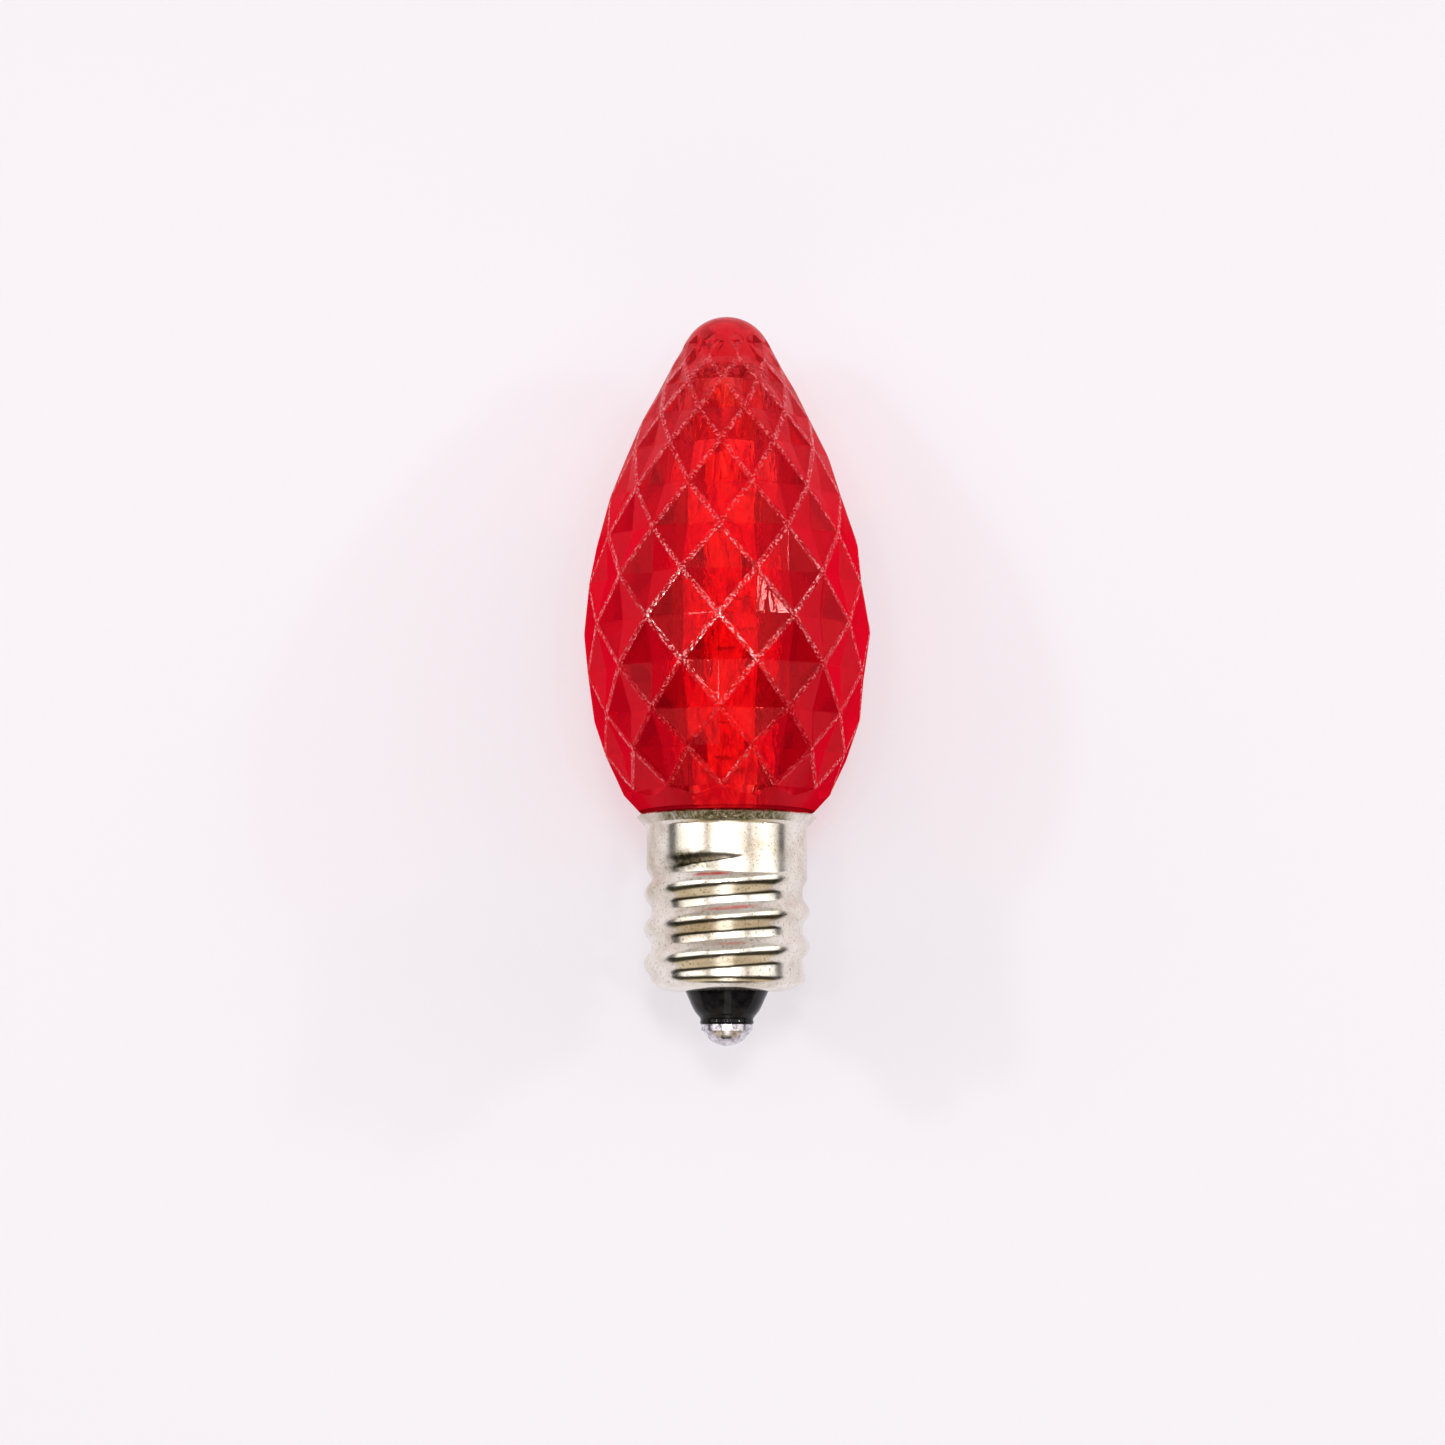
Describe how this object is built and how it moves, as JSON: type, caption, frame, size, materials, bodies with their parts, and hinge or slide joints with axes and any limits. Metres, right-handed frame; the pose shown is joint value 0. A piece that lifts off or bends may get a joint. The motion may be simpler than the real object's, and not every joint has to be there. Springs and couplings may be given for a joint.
{
  "type": "faceted christmas light bulb",
  "caption": "Red faceted light bulb: clear moulded lens with diamond facets on a candelabra screw base, with a diode board inside.",
  "frame": {"origin": "lowest point of the centre contact, on the bulb's axis", "axes": "+Z along the bulb's axis from the contact to the tip of the lens; -Y is the front, where a corner of the facets lies"},
  "size_m": [0.0212, 0.0212, 0.054],
  "materials": {
    "lens": "clear red plastic, glossy",
    "shell": "nickel plated",
    "insulator": "glossy black",
    "tin": "bright tin",
    "cement": "dull",
    "board": "white solder mask",
    "wire": "tinned copper",
    "led": "white moulding",
    "chip": "black moulding"
  },
  "bodies": {
    "root": {"lens": "lens", "screw_shell": "shell", "insulator": "insulator", "contact_eyelet": "tin", "contact_solder": "tin", "cement": "cement", "board": "board", "contact_lead": "wire", "shell_lead": "wire", "contact_joint": "tin", "shell_joint": "tin", "rectifier": "chip", "resistor_1": "chip", "resistor_2": "chip", "led_1": "led", "led_2": "led", "led_3": "led", "led_4": "led", "led_5": "led", "led_6": "led"}
  },
  "joints": []
}
